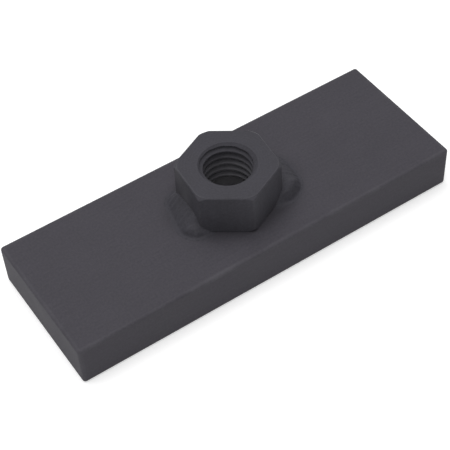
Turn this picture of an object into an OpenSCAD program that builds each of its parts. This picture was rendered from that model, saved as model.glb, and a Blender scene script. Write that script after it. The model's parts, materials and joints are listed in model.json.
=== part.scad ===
// Weld nut on a plate: a hexagon nut stands over the bolt hole of a short piece
// of flat steel bar, held by one fillet weld along each of two opposite flats.
// Millimetres. The origin is the middle of the bar's underside, +X runs along
// the bar and +Z along the bolt's axis.

/* [Plate] */
// Length of the piece of flat bar
plate_length = 90; // [70:1:140]
// Width of the flat bar
plate_width = 32; // [28:1:60]
// Thickness of the flat bar
plate_thickness = 10; // [6:0.5:16]
// Radius that rolling leaves along the bar's long edges
rolled_edge_radius = 0.6; // [0.2:0.1:1.5]
// Radius left by deburring round the two cut ends
cut_edge_radius = 0.6; // [0.2:0.1:1.5]
// Bevel at the mouth of the bolt hole, on the underside
hole_edge_bevel = 0.5; // [0.2:0.1:1.5]

/* [Thread] */
// Outside diameter of the bolt's thread
thread_diameter = 12; // [8:1:14]
// Pitch of the thread
thread_pitch = 1.75; // [1:0.25:2]
// How far the cone at each end of the thread opens past the bolt
lead_in_margin = 0.05; // [0:0.05:0.5]
// Play of the bolt in the plate's hole, on the diameter
bolt_clearance = 1.5; // [0.5:0.1:2.5]

/* [Nut] */
// Width of the nut across its flats
across_flats = 19; // [17:0.5:24]
// Height of the nut
nut_height = 10; // [7:0.5:16]
// How far the bevel at the nut's two faces cuts in from its corners
corner_bevel = 0.8; // [0.2:0.1:1.2]
// Slope of that bevel, from the nut's face
bevel_angle = 45; // [15:1:60]
// Turn of the nut on the plate: the angle of a corner from the bar's length
nut_turn = 24.5; // [0:0.5:59.5]

/* [Welds] */
// Width of the left weld on the plate, at its front end
left_weld_leg = 3.5; // [2.5:0.1:5]
// Height of the left weld up the nut's flat, at its front end
left_weld_height = 3.5; // [2:0.1:5]
// Length of the left weld
left_weld_length = 13.6; // [11:0.1:16]
// Size of the left weld's back end, as a share of its front end
left_weld_taper = 0.75; // [0.6:0.05:1]
// How far the left weld's face bulges above the straight line between its edges
left_weld_crown = 0.4; // [0.2:0.1:0.8]
// Width of the right weld on the plate
right_weld_leg = 5.5; // [2.5:0.1:6.5]
// Height of the right weld up the nut's flat
right_weld_height = 3.2; // [2:0.1:5]
// Length of the right weld
right_weld_length = 14.8; // [13:0.1:16]
// How far the right weld's face bulges above the straight line between its edges
right_weld_crown = 0.8; // [0.2:0.1:0.9]
// How far in under the nut's flat the middle of the weld pool ran
weld_fusion = 0.4; // [0.2:0.1:1]
// Spacing of the ripples along a weld
ripple_pitch = 1.7; // [1:0.1:3]

/* [Hidden] */
$fn = 96;

// A cut reaches this far past the face that it opens
overcut = 0.5;
bolt_hole_radius = (thread_diameter + bolt_clearance) / 2;
// Core of a metric thread, from its outside diameter and pitch
thread_core_radius = thread_diameter / 2 - 0.54127 * thread_pitch;
lead_in_radius = thread_diameter / 2 + lead_in_margin;
lead_in_depth = lead_in_radius - thread_core_radius;

flat_distance = across_flats / 2;
corner_radius = flat_distance / cos(30);
nut_face_radius = corner_radius - corner_bevel;
// The two flats that face the bar's ends carry the welds
left_flat_angle = nut_turn + 150;
right_flat_angle = nut_turn - 30;

plate_colour = "#504f53";
nut_colour = "#4a494d";
weld_colour = "#434246";

module rounded_rectangle(length, width, radius) {
    square([length - 2 * radius, width], center = true);
    square([length, width - 2 * radius], center = true);
    for (side_x = [-1, 1], side_y = [-1, 1])
        translate([side_x * (length / 2 - radius), side_y * (width / 2 - radius)])
            circle(radius);
}

// The rolled bar, its length along X
module rolled_bar() {
    rotate([90, 0, 90])
        linear_extrude(plate_length, center = true)
            rounded_rectangle(plate_width, plate_thickness, rolled_edge_radius);
}

// What deburring leaves of the cut ends, seen from above and from the side
module deburred_ends() {
    linear_extrude(plate_thickness, center = true)
        rounded_rectangle(plate_length, plate_width, cut_edge_radius);
}

module deburred_end_faces() {
    rotate([90, 0, 0])
        linear_extrude(plate_width, center = true)
            rounded_rectangle(plate_length, plate_thickness, cut_edge_radius);
}

// The drilled hole, with its bevelled mouth on the underside
module bolt_hole() {
    mouth_radius = bolt_hole_radius + hole_edge_bevel + overcut;
    rotate_extrude()
        polygon([
            [0, -overcut],
            [mouth_radius, -overcut],
            [bolt_hole_radius, hole_edge_bevel],
            [bolt_hole_radius, plate_thickness + overcut],
            [0, plate_thickness + overcut]
        ]);
}

module base_plate() {
    color(plate_colour)
        difference() {
            translate([0, 0, plate_thickness / 2])
                intersection() {
                    rolled_bar();
                    deburred_ends();
                    deburred_end_faces();
                }
            bolt_hole();
        }
}

// The solid hexagon, its corners bevelled by a cone at each face
module nut_body() {
    outside = corner_radius + overcut;
    bevel_depth = (outside - nut_face_radius) * tan(bevel_angle);
    intersection() {
        rotate(nut_turn)
            cylinder(h = nut_height, r = corner_radius, $fn = 6);
        rotate_extrude()
            polygon([
                [0, 0],
                [nut_face_radius, 0],
                [outside, bevel_depth],
                [outside, nut_height - bevel_depth],
                [nut_face_radius, nut_height],
                [0, nut_height]
            ]);
    }
}

// The thread's core with a lead-in cone at each end
module thread_bore() {
    mouth_radius = lead_in_radius + overcut;
    rotate_extrude()
        polygon([
            [0, -overcut],
            [mouth_radius, -overcut],
            [thread_core_radius, lead_in_depth],
            [thread_core_radius, nut_height - lead_in_depth],
            [mouth_radius, nut_height + overcut],
            [0, nut_height + overcut]
        ]);
}

module hex_nut() {
    color(nut_colour)
        translate([0, 0, plate_thickness])
            difference() {
                nut_body();
                thread_bore();
            }
}

// Half the section of one round pool of weld metal, from its middle to its toe.
// Its face is an arc that stands above the line from toe to middle by the crown.
module pool_section(toe_radius, pool_height, crown) {
    face = norm([toe_radius, pool_height]);
    arc_radius = (face * face / 4 + crown * crown) / (2 * crown);
    arc_depth = arc_radius - crown;
    intersection() {
        translate([
            toe_radius / 2 - arc_depth * pool_height / face,
            pool_height / 2 - arc_depth * toe_radius / face
        ])
            circle(arc_radius);
        square([toe_radius + overcut, pool_height + overcut]);
    }
}

// One fillet weld: a row of overlapping round pools in the corner between a flat
// and the plate, less the nut, so that it also fills the bevel under the nut's
// corners. The first pool has the taper's share of the last one's size.
module fillet_weld(flat_angle, leg, height, length, crown, taper = 1) {
    toe_radius = leg + weld_fusion;
    pool_height = height * toe_radius / leg;
    run = max(0, length - (1 + taper) * toe_radius);
    first_pool = taper * toe_radius - length / 2;
    steps = max(1, round(run / ripple_pitch));
    difference() {
        rotate(flat_angle)
            for (step = [0 : steps]) {
                size = taper + (1 - taper) * step / steps;
                translate([flat_distance - weld_fusion, first_pool + run * step / steps, 0])
                    rotate_extrude()
                        pool_section(size * toe_radius, size * pool_height, size * crown);
            }
        nut_body();
    }
}

// The back end of the left weld is the smaller one
module left_weld() {
    color(weld_colour)
        translate([0, 0, plate_thickness])
            fillet_weld(left_flat_angle, left_weld_leg, left_weld_height, left_weld_length,
                left_weld_crown, left_weld_taper);
}

module right_weld() {
    color(weld_colour)
        translate([0, 0, plate_thickness])
            fillet_weld(right_flat_angle, right_weld_leg, right_weld_height, right_weld_length,
                right_weld_crown);
}

base_plate();
hex_nut();
left_weld();
right_weld();
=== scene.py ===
import json
import math

import bmesh
import bpy
import numpy as np
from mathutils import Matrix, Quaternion, Vector


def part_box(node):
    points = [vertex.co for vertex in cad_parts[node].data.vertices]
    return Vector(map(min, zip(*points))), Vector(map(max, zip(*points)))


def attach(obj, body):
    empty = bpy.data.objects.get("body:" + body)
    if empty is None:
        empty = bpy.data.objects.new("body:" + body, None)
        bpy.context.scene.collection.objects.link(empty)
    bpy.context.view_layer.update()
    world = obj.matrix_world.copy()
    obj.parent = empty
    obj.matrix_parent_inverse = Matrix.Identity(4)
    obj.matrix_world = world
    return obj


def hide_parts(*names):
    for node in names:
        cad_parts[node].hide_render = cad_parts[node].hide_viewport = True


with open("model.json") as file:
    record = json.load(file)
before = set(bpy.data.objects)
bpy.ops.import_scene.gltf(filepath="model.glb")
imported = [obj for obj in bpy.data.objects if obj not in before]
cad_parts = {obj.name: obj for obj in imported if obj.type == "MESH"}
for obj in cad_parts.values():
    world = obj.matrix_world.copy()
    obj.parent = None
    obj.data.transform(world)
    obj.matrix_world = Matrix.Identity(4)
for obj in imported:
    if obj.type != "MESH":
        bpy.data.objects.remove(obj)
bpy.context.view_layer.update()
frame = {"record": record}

# Flat bar
# A piece sawn from hot-rolled flat steel bar, with the bolt hole drilled through its middle before
# welding. Rolling leaves the long edges a little round, and the two sawn ends were deburred. The
# welded part was blackened in a phosphate bath and oiled.

mm = 0.001
mounts = {mount["name"]: mount for mount in frame["record"]["mounts"]}
bar_half_length, bar_half_width, bar_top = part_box("base_plate")[1]
rolled_edge_radius = 0.6 * mm
cut_edge_radius = 0.6 * mm
corner_round_in_plan = 0.7 * mm
bolt_hole_radius = mounts["bolt_hole"]["dims"]["r_mm"] * mm
bolt_hole_bevel = 0.5 * mm
# How thin rubbing left the coat on the edges, from 0 for whole to 1 for bare, and how far in it reached
edge_rub = 0.16
edge_rub_reach = 0.5 * mm


def skin(name, grid, worn_and_painted_light, sharp_angle=38, capped=False):
    """A mesh object from a grid of points, rows by columns by xyz. The rows close on themselves like a
    tube, and so do the columns, like a ring, unless the tube's two ends are capped. Edges that turn by
    more than sharp_angle degrees stay sharp. Worn, from 0 to 1 at each point, lightens the coat there:
    where the coat is thin, and where painted light is laid on."""
    rows, columns = grid.shape[:2]
    corner = np.arange(rows * columns).reshape(rows, columns)
    beside = np.roll(corner, -1, axis=1)
    quads = np.stack([corner, beside, np.roll(beside, -1, axis=0), np.roll(corner, -1, axis=0)], axis=-1)
    faces = quads[:, :columns - capped].reshape(-1, 4).tolist()
    if capped:
        faces += [corner[:, 0].tolist(), corner[::-1, -1].tolist()]
    mesh = bpy.data.meshes.new(name)
    mesh.from_pydata(grid.reshape(-1, 3), [], faces)
    rubbed = mesh.attributes.new("worn_and_painted_light", "FLOAT", "POINT")
    rubbed.data.foreach_set("value", np.broadcast_to(worn_and_painted_light, (rows, columns)).astype(np.float32).ravel())
    if capped:
        shell = bmesh.new()
        shell.from_mesh(mesh)
        bmesh.ops.remove_doubles(shell, verts=shell.verts, dist=1e-6)
        shell.to_mesh(mesh)
        shell.free()
    mesh.shade_smooth()
    mesh.set_sharp_from_angle(angle=math.radians(sharp_angle))
    piece = bpy.data.objects.new(name, mesh)
    bpy.context.scene.collection.objects.link(piece)
    return piece


def bar_outline():
    """Columns round the bar: for each, its place on a rectangle as fractions of the half sides, and the
    outward normal. At a corner the place stays and the normal turns. Along a side the places are where
    rays from the bolt's axis, 3 degrees apart, cross it, so that the bolt hole comes out round, and a
    few more lie close to the corners."""
    quarter_turn = np.linspace(0, math.pi / 2, 7)
    near_corner = np.array([0.004, 0.012, 0.03, 0.06])
    corners = np.array([(1, 1), (-1, 1), (-1, -1), (1, -1)])
    half_sides = (bar_half_length, bar_half_width)
    places, normals = [], []
    for number, corner in enumerate(corners):
        following = corners[(number + 1) % 4]
        turned = quarter_turn + number * math.pi / 2
        places.append(np.repeat([corner], len(turned), axis=0))
        normals.append(np.stack([np.cos(turned), np.sin(turned)], axis=-1))
        half_side, from_axis = half_sides if number % 2 == 0 else half_sides[::-1]
        widest = math.atan(half_side / from_axis)
        ray = np.linspace(-widest, widest, round(math.degrees(2 * widest) / 3) + 1)
        crossing = 0.5 + 0.5 * from_axis / half_side * np.tan(ray)
        clear_of_corners = crossing[np.abs(crossing - 0.5) < 0.42]
        along = np.concatenate([near_corner, clear_of_corners, 1 - near_corner[::-1]])[:, None]
        places.append(corner * (1 - along) + following * along)
        normals.append(np.repeat(normals[-1][-1:], len(along), axis=0))
    return np.concatenate(places), np.concatenate(normals)


def bar_ring(inset, height):
    """The bar's outline drawn in by inset, at that height. The round of its corners shrinks with the
    inset over the rounded edges, and grows again further in, so no two points meet. The inset is an
    array of rows by columns, or of rows for the whole outline, and the height is that or one number."""
    place, normal = bar_outline()
    inset, height = np.broadcast_arrays(inset, np.asarray(height) + 0 * inset)
    further_in = 0.1 * mm + 0.5 * (inset - corner_round_in_plan)
    rounding = np.maximum(corner_round_in_plan - inset, further_in)
    x = place[:, 0] * (bar_half_length - inset - rounding) + normal[:, 0] * rounding
    y = place[:, 1] * (bar_half_width - inset - rounding) + normal[:, 1] * rounding
    return np.stack([x, y, height], axis=-1)


def circle_ring(radius, height, angle):
    """Points on circles about the bolt's axis: a row for each radius and height, and a column for each
    angle."""
    radius = np.asarray(radius)[:, None]
    height = np.asarray(height)[:, None] + 0 * angle
    return np.stack([radius * np.cos(angle), radius * np.sin(angle), height], axis=-1)


def flat_bar_skin():
    """A profile carried round the bar's outline: up the rounded edges and the side, across the top to
    the bolt hole, down its wall and bevel, and back across the underside. The drilled wall is drawn
    bare and light, painted light in the shaded hole. The coat is a little thin on the rounded edges and
    corners, where the rub dies away as an exponential of the distance."""
    place, normal = bar_outline()
    edge = rolled_edge_radius * normal[:, 1] ** 2 + cut_edge_radius * normal[:, 0] ** 2
    turn = np.linspace(0, math.pi / 2, 7)[:, None]
    lower_edge = bar_ring(edge * (1 - np.sin(turn)), edge * (1 - np.cos(turn)))
    level = np.array([0.1, 0.2, 0.5, 0.8, 0.9])[:, None]
    side = bar_ring(0 * level * edge, level * bar_top)
    upper_edge = bar_ring(edge * (1 - np.cos(turn)), bar_top - edge * (1 - np.sin(turn)))
    border = np.array([0.4, 1.2, 2.5, 5])[:, None] * mm
    top_border = bar_ring(edge + border, bar_top)
    under_border = bar_ring(edge + border[::-1], 0)
    angle = np.arctan2(top_border[-1, :, 1], top_border[-1, :, 0])
    hole = circle_ring([bolt_hole_radius, bolt_hole_radius, bolt_hole_radius + bolt_hole_bevel],
                       [bar_top, bolt_hole_bevel, 0], angle)
    inward = np.linspace(0, 1, 6)[1:-1, None, None]
    top = top_border[-1] * (1 - inward) + hole[0] * inward
    underside = hole[-1] * (1 - inward) + under_border[0] * inward
    grid = np.concatenate([lower_edge, side, upper_edge, top_border, top, hole, underside, under_border])

    row = np.arange(len(grid))[:, None]
    outer_rows = len(lower_edge) + len(side) + len(upper_edge)
    wall_top = outer_rows + len(top_border) + len(top)
    on_edge = np.zeros((len(turn), 1))
    up_side = np.minimum(level, 1 - level) * bar_top
    far = np.full((len(top) + len(hole) + len(underside), 1), np.inf)
    from_edge = np.concatenate([on_edge, up_side, on_edge, border, far, border[::-1]])
    from_corner = np.hypot((1 - np.abs(place[:, 0])) * bar_half_length,
                           (1 - np.abs(place[:, 1])) * bar_half_width)
    rubbed = np.maximum(np.exp(-from_edge / edge_rub_reach),
                        (row < outer_rows) * np.exp(-from_corner / edge_rub_reach))
    # Painted light: the bolt hole's drilled wall, deep in shade, is drawn bare and light
    painted_light_on_hole_wall = (row == wall_top) | (row == wall_top + 1)
    return grid, np.maximum(edge_rub * rubbed, painted_light_on_hole_wall)


def linear(hex_colour):
    """An sRGB hex colour as linear red, green, blue and alpha."""
    srgb = np.array([int(hex_colour[i:i + 2], 16) for i in (1, 3, 5)]) / 255
    return (*np.where(srgb <= 0.04045, srgb / 12.92, ((srgb + 0.055) / 1.055) ** 2.4), 1)


def node(material, kind, output, inputs, **settings):
    """Adds a shader node, sets its properties, fills its inputs with values or with links from other
    sockets, and gives its named output."""
    made = material.node_tree.nodes.new(kind)
    for key, value in settings.items():
        setattr(made, key, value)
    for key, value in inputs.items():
        if isinstance(value, bpy.types.NodeSocket):
            material.node_tree.links.new(value, made.inputs[key])
        else:
            made.inputs[key].default_value = value
    return made.outputs[output]


def phosphated_steel(name, dark, light, bare_and_lit, mottle_size, grain_size, marks, mark_depth):
    """Steel with a black phosphate coat sealed in oil, grown as fine crystals in a hot bath. The eye
    gets a soft charcoal grey with a dull sheen, cloudy where the bath took unevenly, with a fine grain,
    and a little lighter where the worn attribute says so: where the coat is thin, and where it carries
    painted light. The crystals are some 10 micrometres, so the grain is drawn coarser, to show. Marks
    adds the nodes of the marks left under the coat, and gives their height from 0 to 1."""
    material = bpy.data.materials.new(name)
    material.use_nodes = True
    shader = material.node_tree.nodes["Principled BSDF"]
    place = node(material, "ShaderNodeTexCoord", "Object", {})
    mottle = node(material, "ShaderNodeTexNoise", "Fac", {
        "Vector": place, "Scale": 1 / mottle_size, "Detail": 4.0, "Roughness": 0.55})
    grain = node(material, "ShaderNodeTexNoise", "Fac", {
        "Vector": place, "Scale": 1 / grain_size, "Detail": 2.0, "Roughness": 0.6})
    marked = marks(material, place)
    cloudy = node(material, "ShaderNodeMath", "Value", {0: mottle, 1: grain}, operation="ADD")
    cloudy = node(material, "ShaderNodeMath", "Value", {0: marked, 1: 0.3, 2: cloudy},
                  operation="MULTIPLY_ADD")
    shade = node(material, "ShaderNodeMapRange", "Result", {
        "Value": cloudy, "From Min": 0.85, "From Max": 1.45})
    coat = node(material, "ShaderNodeMix", "Result", {
        "Factor": shade, "A": linear(dark), "B": linear(light)}, data_type="RGBA")
    # The worn attribute carries thin coat and painted light alike: painted light in the bore, on the
    # bolt hole's wall and on the nut's welded flats
    worn_and_painted_light = node(material, "ShaderNodeAttribute", "Fac", {}, attribute_name="worn_and_painted_light")
    patchy = node(material, "ShaderNodeMath", "Value", {0: worn_and_painted_light, 1: mottle}, operation="MULTIPLY")
    lightened = node(material, "ShaderNodeMapRange", "Result", {
        "Value": patchy, "From Min": 0.05, "From Max": 0.5, "To Max": 0.7})
    colour = node(material, "ShaderNodeMix", "Result", {
        "Factor": lightened, "A": coat, "B": linear(bare_and_lit)}, data_type="RGBA")
    dullness = node(material, "ShaderNodeMapRange", "Result", {
        "Value": mottle, "From Min": 0.3, "From Max": 0.7, "To Min": 0.62, "To Max": 0.76})
    mark_relief = node(material, "ShaderNodeBump", "Normal", {
        "Height": marked, "Strength": 0.6, "Distance": mark_depth})
    relief = node(material, "ShaderNodeBump", "Normal", {
        "Height": grain, "Strength": 0.5, "Distance": 0.03 * mm, "Normal": mark_relief})
    for socket, source in (("Base Color", colour), ("Roughness", dullness), ("Normal", relief)):
        material.node_tree.links.new(source, shader.inputs[socket])
    shader.inputs["Specular IOR Level"].default_value = 0.2
    return material


# A wave texture of scale 1 repeats after this length
wave_length = math.pi / 10


def rolling_and_saw_marks(material, place):
    """Long faint streaks along the bar from the rolls, 12 mm long and 0.5 mm wide, and across its two
    ends the upright lines of the saw, 0.9 mm apart, which show only on the last 0.3 mm of its length."""
    drawn_out = node(material, "ShaderNodeMapping", "Vector", {
        "Vector": place, "Scale": (1 / (12 * mm), 1 / (0.5 * mm), 1 / (0.5 * mm))})
    streaks = node(material, "ShaderNodeTexNoise", "Fac", {
        "Vector": drawn_out, "Scale": 1.0, "Detail": 2.0})
    along = node(material, "ShaderNodeSeparateXYZ", "X", {"Vector": place})
    along = node(material, "ShaderNodeMath", "Value", {0: along}, operation="ABSOLUTE")
    at_end = node(material, "ShaderNodeMath", "Value", {0: along, 1: bar_half_length - 0.3 * mm},
                  operation="GREATER_THAN")
    saw = node(material, "ShaderNodeTexWave", "Fac", {
        "Vector": place, "Scale": wave_length / (0.9 * mm), "Distortion": 4.0, "Detail": 3.0,
        "Detail Scale": 3.0}, bands_direction="Y")
    saw = node(material, "ShaderNodeMapRange", "Result", {"Value": saw, "To Min": 0.35, "To Max": 0.65})
    return node(material, "ShaderNodeMix", "Result", {"Factor": at_end, "A": streaks, "B": saw})


flat_bar = skin("flat_bar", *flat_bar_skin())
# Over rolled steel the coat is the lightest of the three, and faintly streaked along the bar
flat_bar.data.materials.append(phosphated_steel(
    "phosphated_rolled_bar", dark="#3a383e", light="#444248", bare_and_lit="#7d7c80", mottle_size=9 * mm,
    grain_size=0.5 * mm, marks=rolling_and_saw_marks, mark_depth=0.02 * mm))
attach(flat_bar, "root")
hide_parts("base_plate")

# Nut
# A cold-formed steel hexagon nut with a tapped metric coarse thread, stood flat on the bar over the
# bolt hole. Its corners are bevelled at both faces, and a cone at each end leads the bolt into the
# thread.

nut_low, nut_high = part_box("hex_nut")
nut_base = nut_low[2]
nut_height = nut_high[2] - nut_base
flat_distance = 19 * mm / 2
nut_turn = math.radians(24.5)
across_welds = nut_turn - math.radians(30)
corner_round = 0.8 * mm
corner_bevel = 0.8 * mm
bevel_slope = math.tan(math.radians(45))
edge_break = 0.2 * mm
thread_core_radius = mounts["nut_thread"]["dims"]["r_mm"] * mm
thread_outer_radius = 6 * mm
thread_pitch = 1.75 * mm
lead_in_radius = 6.05 * mm
corner_radius = flat_distance / math.cos(math.pi / 6)
# Where the arc that rounds a corner has its middle, and the angle from the corner at which it ends
round_middle = (flat_distance - corner_round) / math.cos(math.pi / 6)
round_end = math.atan2(corner_round / 2, round_middle + corner_round * math.cos(math.pi / 6))
# How thin the coat is on the top's rim and upright corners, and painted light deep in the thread and on
# the welded flats
rim_rub = 0.35
corner_rub = 0.17
bore_painted_light = 0.6
flat_painted_light = 0.4


def nut_angles():
    """Angles round the nut, measured from its nearest corner and from the bar's length: close together
    over the rounded corners and even over the flats."""
    over_corner = np.linspace(-round_end, round_end, 6)
    over_flat = np.linspace(round_end, math.pi / 3 - round_end, 24)[1:-1]
    sector = np.concatenate([over_corner, over_flat])
    from_corner = np.where(sector > math.pi / 6, sector - math.pi / 3, sector)
    turned = nut_turn + np.arange(6)[:, None] * math.pi / 3 + sector
    return np.tile(from_corner, 6), turned.ravel()


def hexagon_radius(from_corner):
    """Distance from the axis to the hexagon's side at an angle from its nearest corner: the flat's
    straight line, or the arc that rounds the corner."""
    flat = flat_distance / np.cos(math.pi / 6 - np.abs(from_corner))
    beside = np.minimum((round_middle * np.sin(from_corner)) ** 2, corner_round ** 2)
    arc = round_middle * np.cos(from_corner) + np.sqrt(corner_round ** 2 - beside)
    return np.where(np.abs(from_corner) <= round_end + 1e-9, arc, flat)


def thread_radius(angle, height):
    """Radius of the bore's wall: a right-hand thread whose flanks lean 30 degrees, with a crest an
    eighth of the pitch wide each side and a flat root, opened by a 45 degree cone at each end."""
    phase = (height / thread_pitch - angle / (2 * math.pi)) % 1
    from_crest = np.abs(phase - 0.5) * thread_pitch
    flank = thread_core_radius + (from_crest - thread_pitch / 8) / math.tan(math.pi / 6)
    thread = np.clip(flank, thread_core_radius, thread_outer_radius)
    from_end = np.minimum(height, nut_height - height)
    return np.maximum(thread, lead_in_radius - from_end)


def profile_rows(radius, height):
    """Rows of points on the profile, radius and height, one column for each angle round the nut."""
    return np.stack(np.broadcast_arrays(radius, height), axis=-1)


def nut_skin():
    """A profile carried round the nut's axis: out over the lower corner bevel, up the hexagon's side, in
    over the upper bevel, across the top, down the threaded bore, and back across the underside. The coat
    is a little thin on the rim of the top and on the six upright corners. Deep in the bore it is drawn
    lighter, painted light in the shaded recess, and on the back half of the two welded flats, painted
    light on that side of the nut."""
    from_corner, angle = nut_angles()
    side = hexagon_radius(from_corner)
    face_radius = np.minimum(side - edge_break, corner_radius - corner_bevel)
    bevel_height = np.maximum(edge_break, (side - corner_radius + corner_bevel) * bevel_slope)
    step = np.linspace(0, 1, 4)[:, None]
    lower_bevel = profile_rows(face_radius + (side - face_radius) * step, bevel_height * step)
    wall = profile_rows(side, bevel_height + (nut_height - 2 * bevel_height) * step)[1:]
    upper_bevel = lower_bevel[-2::-1] * [1, -1] + [0, nut_height]
    across = np.array([0.03, 0.1, 0.25, 0.5, 0.75, 1])[:, None]
    top = profile_rows(face_radius + (lead_in_radius - face_radius) * across, nut_height)
    down = np.linspace(nut_height, 0, 108)[1:, None]
    bore = profile_rows(thread_radius(angle, down), down)
    underside = profile_rows(lead_in_radius + (face_radius - lead_in_radius) * across[:-1], 0.0)
    profile = np.concatenate([lower_bevel, wall, upper_bevel, top, bore, underside])
    radius, height = np.moveaxis(profile, -1, 0)
    grid = np.stack([radius * np.cos(angle), radius * np.sin(angle), nut_base + height], axis=-1)

    row = np.arange(len(grid))[:, None]
    wall_top = len(lower_bevel) + len(wall)
    rim = wall_top + len(upper_bevel) - 1
    mouth = rim + len(top)
    on_rim = rim_rub * (row == rim)
    on_corner = corner_rub * (row < wall_top) * np.exp(-(np.degrees(np.abs(from_corner)) / 2.5) ** 2)
    depth = (row - mouth) / len(bore) * nut_height
    deep = np.clip((depth - 1.5 * mm) / (4 * mm), 0, 1)
    # Painted light: deep in the bore the coat is drawn lighter, though little light reaches there
    painted_light_in_bore = bore_painted_light * deep * (row < mouth + len(bore))
    # Painted light: the back half of the two welded flats is drawn lighter, as if more light fell on
    # that side
    on_welded_flat = np.clip((0.5 - np.abs(np.sin(angle - across_welds))) / 0.08, 0, 1)
    towards_back = np.clip((np.sin(angle) + 0.25) / 0.4, 0, 1)
    painted_light_on_flats = flat_painted_light * (row < rim) * towards_back * on_welded_flat
    return grid, np.maximum.reduce(np.broadcast_arrays(on_rim, on_corner, painted_light_in_bore, painted_light_on_flats))


def forming_marks(material, place):
    """Fine rings on the top face from the facing tool, 0.6 mm apart about the nut's axis, under a
    broken scuffing of 0.8 mm patches from tumbling in the barrel."""
    rings = node(material, "ShaderNodeTexWave", "Fac", {
        "Vector": place, "Scale": wave_length / (0.6 * mm), "Distortion": 0.6},
        wave_type="RINGS", rings_direction="Z")
    scuffs = node(material, "ShaderNodeTexNoise", "Fac", {
        "Vector": place, "Scale": 1 / (0.8 * mm), "Detail": 3.0})
    return node(material, "ShaderNodeMix", "Result", {"Factor": 0.7, "A": rings, "B": scuffs})


nut = skin("nut_with_thread", *nut_skin())
# Over the smooth, cold-formed steel the coat is a shade darker than the bar's, and finer in its grain
nut.data.materials.append(phosphated_steel(
    "phosphated_cold_formed_nut", dark="#36353a", light="#403f45", bare_and_lit="#6d6c70", mottle_size=6 * mm,
    grain_size=0.4 * mm, marks=forming_marks, mark_depth=0.015 * mm))
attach(nut, "root")
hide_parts("hex_nut")

# Welds
# Two fillet welds of steel filler wire, one along each of the two flats that face the bar's ends. The
# pool froze in overlapping ripples. Each weld laps a little round the nut's corners and ends in a dome
# of the last filler.

weld_fusion = 0.4 * mm
toe_wander = 0.05 * mm
feather = 0.9 * mm
feather_height = 0.15 * mm
ripple_pitch = 1.5 * mm
ripple_depth = 0.07 * mm
ripple_bow = 1.6 * mm
ripple_rub = 0.28
sunk_in = 0.05 * mm
under_bevel = 0.8 * mm
# Rows across a weld, from its toe on the bar, 0, to its root on the nut, 1, and columns along it
from_toe = np.linspace(0, 1, 40)[:, None]
weld_columns = 201


def along_path(points):
    """Points for a weld's columns, at even spacing along a line through the given points."""
    gone = np.concatenate([[0], np.cumsum(np.linalg.norm(np.diff(points, axis=0), axis=1))])
    even = np.linspace(0, gone[-1], weld_columns)
    return np.stack([np.interp(even, gone, points[:, axis]) for axis in (0, 1)], axis=-1)


def weld_end(middle, radius):
    """Where the toe of a round pool meets the nut past a corner. The pool's middle lies that far along
    the flat, and under it by the fusion. Gives the turn about the middle from straight out, and the
    point in plan."""
    past_corner = corner_radius / 2 - middle
    lean = past_corner / 2 - weld_fusion * math.sin(math.pi / 3)
    lap = math.sqrt(lean ** 2 + radius ** 2 - weld_fusion ** 2 - past_corner ** 2) - lean
    point = np.array([-lap * math.sin(math.pi / 3), corner_radius / 2 + lap / 2])
    return math.atan2(point[1] - middle, point[0] + weld_fusion), point


def weld_plan(first, last, first_radius, last_radius):
    """The weld's grid in plan, out from the flat and along it. Its toe goes round a pool at each end,
    and straight from one to the other. Its root follows the flat and laps round both corners. The rows
    lie evenly between the two. First and last are the places of the two pools along the flat."""
    first_turn, first_end = weld_end(-first, first_radius)
    last_turn, last_end = weld_end(last, last_radius)
    turn = np.concatenate([np.linspace(-first_turn, 0, 60), np.linspace(0, last_turn, 60)])
    radius = np.repeat([first_radius, last_radius], 60)
    middle = np.repeat([first, last], 60)
    toe_out = radius * np.cos(turn) - weld_fusion
    toe_along = middle + radius * np.sin(turn)
    toe = along_path(np.stack([toe_out, toe_along], axis=-1))
    corner = np.array([0, corner_radius / 2])
    mirrored = np.array([1, -1])
    root = along_path(np.array([first_end * mirrored, corner * mirrored, corner, last_end]))
    return toe + (root - toe) * from_toe[..., None]


def pool_face(from_middle, toe_radius, pool_height, crown):
    """Height of a round pool's face at a distance from its middle: an arc from the middle's top to the
    toe, which stands above the straight line between them by the crown."""
    face_width = math.hypot(toe_radius, pool_height)
    arc_radius = (face_width ** 2 / 4 + crown ** 2) / (2 * crown)
    arc_depth = arc_radius - crown
    arc_out = toe_radius / 2 - arc_depth * pool_height / face_width
    arc_up = pool_height / 2 - arc_depth * toe_radius / face_width
    return arc_up + np.sqrt(np.maximum(arc_radius ** 2 - (from_middle - arc_out) ** 2, 0))


def rounded_larger(a, b, width):
    """The larger of two heights, rounded off where they cross: half the sum of both and of the
    hypotenuse of their difference and the width."""
    return (a + b + np.hypot(a - b, width)) / 2


def end_dome(out, from_end, to_toe, leg, dome_height):
    """Height of the last of the filler: an oval dome 1.5 legs wide and 5.4 mm long with a full, flat
    top, cut off at the weld's toe by a slope of 2.2 to 1, with the corner between them rounded."""
    across_oval = (out - 0.23 * leg) / (0.74 * leg)
    along_oval = (from_end - 2.8 * mm) / (2.7 * mm)
    inside = 1 - across_oval ** 2 - along_oval ** 2
    dome = dome_height * (np.maximum(inside, 0) ** 0.7 - np.maximum(-inside, 0))
    steep_toe = 2.2 * (to_toe + 0.15 * mm)
    return -rounded_larger(-dome, -steep_toe, 0.4 * mm)


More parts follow.
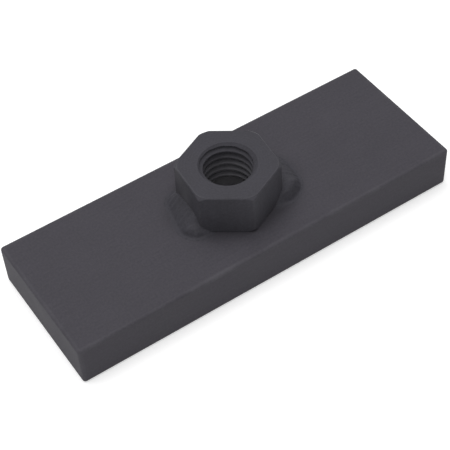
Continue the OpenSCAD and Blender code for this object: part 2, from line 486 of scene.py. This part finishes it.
def weld_skin(leg, height, length, crown, taper, dome_side, dome_height):
    """A fillet weld in its own plan frame, out from the flat and along it. Its height is that of a
    round pool drawn along the flat, which grows from the taper's share to its full size, with a toe
    that wanders a little and runs out on the bar in a thin feather. Dome_side, 1 or -1, tells which end
    has the dome. Crescent ripples lie across, bowed by their middle: the size of a cosine, with its
    valleys rounded, fading out at the toe and the root. Gives the grid, and how far the coat is rubbed
    off the ripples' crests, from 0 to 1."""
    toe_radius = leg + weld_fusion
    pool_height = height * toe_radius / leg
    first = taper * toe_radius - length / 2
    last = max(first, length / 2 - toe_radius)
    plan = weld_plan(first, last, taper * toe_radius + feather, toe_radius + feather)
    out, along = plan[..., 0], plan[..., 1]
    nearest = np.clip(along, first, last)
    size = taper + (1 - taper) * (nearest - first) / max(last - first, 1e-9)
    wander = np.sin(along / (0.37 * mm) + 0.4) + 0.6 * np.sin(along / (0.19 * mm) + 1.9)
    from_middle = (np.hypot(out + weld_fusion, along - nearest) + toe_wander * wander) / size
    arched = size * pool_face(from_middle, toe_radius, pool_height, crown)
    rise = rounded_larger(arched, 0, 2 * feather_height) - 0.15 * feather_height
    ahead = dome_side * along
    dome = end_dome(out, length / 2 - ahead, toe_radius - from_middle, leg, dome_height)
    rise = rounded_larger(rise, dome, 0.3 * mm)

    bowed = ahead + ripple_bow * np.sqrt(1 - 0.8 * (2 * from_toe - 1) ** 2)
    wave = np.hypot(np.cos(math.pi * bowed / ripple_pitch), 0.2)
    wave_mean, wave_top = 0.66, 1.02
    fade = np.clip(rise / (0.6 * mm), 0, 1) * np.sin(math.pi * from_toe) ** 0.5
    rise = rise + fade * ripple_depth * (wave - wave_mean)
    rubbed = ripple_rub * fade * np.maximum(wave - wave_mean, 0) / (wave_top - wave_mean)

    face = np.concatenate([plan, rise[..., None]], axis=-1)
    face[0, :, 2] = -sunk_in
    back = face[-1] - [sunk_in, 0, 0]
    foot = back * [1, 1, 0] - [under_bevel, 0, sunk_in]
    hidden = np.zeros((2, weld_columns))
    return np.concatenate([face, back[None], foot[None]]), np.concatenate([rubbed, hidden])


def fillet_weld(name, flat_angle, **shape):
    """The weld's skin stood in the corner between the flat at that angle and the bar's top, with closed
    ends."""
    grid, rubbed = weld_skin(**shape)
    out, along, up = np.moveaxis(grid, -1, 0)
    reach = flat_distance + out
    x = reach * math.cos(flat_angle) - along * math.sin(flat_angle)
    y = reach * math.sin(flat_angle) + along * math.cos(flat_angle)
    placed = np.stack([x, y, bar_top + up], axis=-1)
    return skin(name, placed, rubbed, sharp_angle=60, capped=True)


def scale_pits(material, place):
    """Small pits and specks, 0.9 mm apart, where slag and soot sat on the weld before the bath."""
    cells = node(material, "ShaderNodeTexVoronoi", "Distance", {
        "Vector": place, "Scale": 1 / (0.9 * mm)})
    return node(material, "ShaderNodeMapRange", "Result", {"Value": cells, "From Max": 0.5})


def smoke_and_painted_shade(material):
    """Darkens the bar's coat in an oval round the nut and the two welds: painted shade at their foot,
    with a stain of welding smoke under the coat. The oval is 28 mm across the welds and 20 mm along
    them, and fades out over 3 to 4 mm. Little more than a millimetre down the bolt hole it is gone."""
    shader = material.node_tree.nodes["Principled BSDF"]
    coat = shader.inputs["Base Color"].links[0].from_socket
    place = node(material, "ShaderNodeTexCoord", "Object", {})
    oval = node(material, "ShaderNodeMapping", "Vector", {
        "Vector": place, "Location": (1 * mm, 0, bar_top), "Rotation": (0, 0, across_welds),
        "Scale": (14 * mm, 10 * mm, 1 * mm)}, vector_type="TEXTURE")
    reach = node(material, "ShaderNodeVectorMath", "Value", {0: oval}, operation="LENGTH")
    smoke_and_shade = node(material, "ShaderNodeMapRange", "Result", {
        "Value": reach, "From Min": 0.92, "From Max": 1.22, "To Min": 0.3, "To Max": 0.0},
        interpolation_type="SMOOTHSTEP")
    # The near black mixed in is painted shade at the foot of the nut and welds, partly a smoke stain
    stained_and_shaded = node(material, "ShaderNodeMix", "Result", {
        "Factor": smoke_and_shade, "A": coat, "B": linear("#1c1b1f")}, data_type="RGBA")
    material.node_tree.links.new(stained_and_shaded, shader.inputs["Base Color"])


# Painted shade round the foot of the nut and welds on the bar's coat, partly a welding smoke stain
smoke_and_painted_shade(flat_bar.data.materials[0])
# Over the frozen filler the coat is the darkest of the three, and pitted, with paler ripple crests
weld_metal = phosphated_steel(
    "phosphated_weld_metal", dark="#302f34", light="#3c3b41", bare_and_lit="#525156", mottle_size=4 * mm,
    grain_size=0.4 * mm, marks=scale_pits, mark_depth=0.02 * mm)
left_weld = fillet_weld(
    "left_fillet_weld", across_welds + math.pi, leg=3.5 * mm, height=3.5 * mm, length=13.6 * mm,
    crown=0.2 * mm, taper=0.75, dome_side=1, dome_height=2.1 * mm)
right_weld = fillet_weld(
    "right_fillet_weld", across_welds, leg=5.5 * mm, height=3.2 * mm, length=14.8 * mm,
    crown=0.8 * mm, taper=1, dome_side=-1, dome_height=3.1 * mm)
for weld, cad_node in ((left_weld, "left_weld"), (right_weld, "right_weld")):
    weld.data.materials.append(weld_metal)
    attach(weld, "root")
    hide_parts(cad_node)

# Studio
# A round table of white paper under a wide soft lamp, with a small card in front to fill the shadows
# and white all round, as for a catalogue picture.

table_radius = 0.3
paper_lift = 0.35
room_light = 0.335
around = np.linspace(0, 2 * math.pi, 96, endpoint=False)
rim = table_radius * np.stack([np.cos(around), np.sin(around), 0 * around], axis=-1)
table_mesh = bpy.data.meshes.new("white_table")
table_mesh.from_pydata(rim, [], [range(len(rim))])
table = bpy.data.objects.new("white_table", table_mesh)
bpy.context.scene.collection.objects.link(table)


def in_view(surface):
    """1 on a ray straight from the camera, or from a reflection or a clear piece, and 0 on rays that
    only light."""
    camera_ray = node(surface, "ShaderNodeLightPath", "Is Camera Ray", {})
    glossy_ray = node(surface, "ShaderNodeLightPath", "Is Glossy Ray", {})
    clear_ray = node(surface, "ShaderNodeLightPath", "Is Transmission Ray", {})
    seen = node(surface, "ShaderNodeMath", "Value", {0: camera_ray, 1: glossy_ray}, operation="MAXIMUM")
    return node(surface, "ShaderNodeMath", "Value", {0: seen, 1: clear_ray}, operation="MAXIMUM")


# Matt white card paper has no sheen. It is lifted to plain white in view, and keeps the part's shadow
paper = bpy.data.materials.new("white_paper")
paper.use_nodes = True
paper_shader = paper.node_tree.nodes["Principled BSDF"]
paper_shader.inputs["Base Color"].default_value = linear("#f0f0f0")
paper_shader.inputs["Roughness"].default_value = 0.9
paper_shader.inputs["Specular IOR Level"].default_value = 0.0
paper_shader.inputs["Emission Color"].default_value = (1, 1, 1, 1)
lift = node(paper, "ShaderNodeMath", "Value", {0: in_view(paper), 1: paper_lift}, operation="MULTIPLY")
paper.node_tree.links.new(lift, paper_shader.inputs["Emission Strength"])
table.data.materials.append(paper)

world = bpy.data.worlds.new("white_studio")
world.use_nodes = True
bpy.context.scene.world = world
background = world.node_tree.nodes["Background"]
background.inputs["Color"].default_value = (1, 1, 1, 1)
strength = node(world, "ShaderNodeMapRange", "Result", {
    "Value": in_view(world), "To Min": room_light, "To Max": 1.0})
world.node_tree.links.new(strength, background.inputs["Strength"])

for name, size, watts, place in (
        ("overhead_softbox", 0.7, 5.05, (-0.07, 0.11, 0.83)),
        ("front_fill_card", 0.3, 0.77, (-0.24, -0.39, 0.53))):
    lamp_data = bpy.data.lights.new(name, "AREA")
    lamp_data.size = size
    lamp_data.energy = watts
    lamp = bpy.data.objects.new(name, lamp_data)
    lamp.location = place
    lamp.rotation_euler = (-lamp.location).to_track_quat("-Z", "Y").to_euler()
    bpy.context.scene.collection.objects.link(lamp)

# Camera
# It looks down on the nut from the front left, as in the photograph, with a long lens, turned a little
# about its own axis.

camera_azimuth = math.radians(-31.28)
camera_elevation = math.radians(49.0)
camera_roll = math.radians(-3.51)
camera_distance = 0.26215
looked_at = Vector((-4.95, -5.73, 10)) * mm
backward = Vector((math.sin(camera_azimuth) * math.cos(camera_elevation),
                   -math.cos(camera_azimuth) * math.cos(camera_elevation),
                   math.sin(camera_elevation)))
camera_data = bpy.data.cameras.new("camera")
camera_data.sensor_width = 36
camera_data.lens = 103.9
camera_data.clip_start = 0.01
camera = bpy.data.objects.new("camera", camera_data)
camera.location = looked_at + camera_distance * backward
camera.rotation_mode = "QUATERNION"
level_aim = (-backward).to_track_quat("-Z", "Y")
camera.rotation_quaternion = level_aim @ Quaternion((0, 0, 1), camera_roll)
bpy.context.scene.collection.objects.link(camera)
bpy.context.scene.camera = camera
bpy.context.scene.view_settings.view_transform = "Standard"
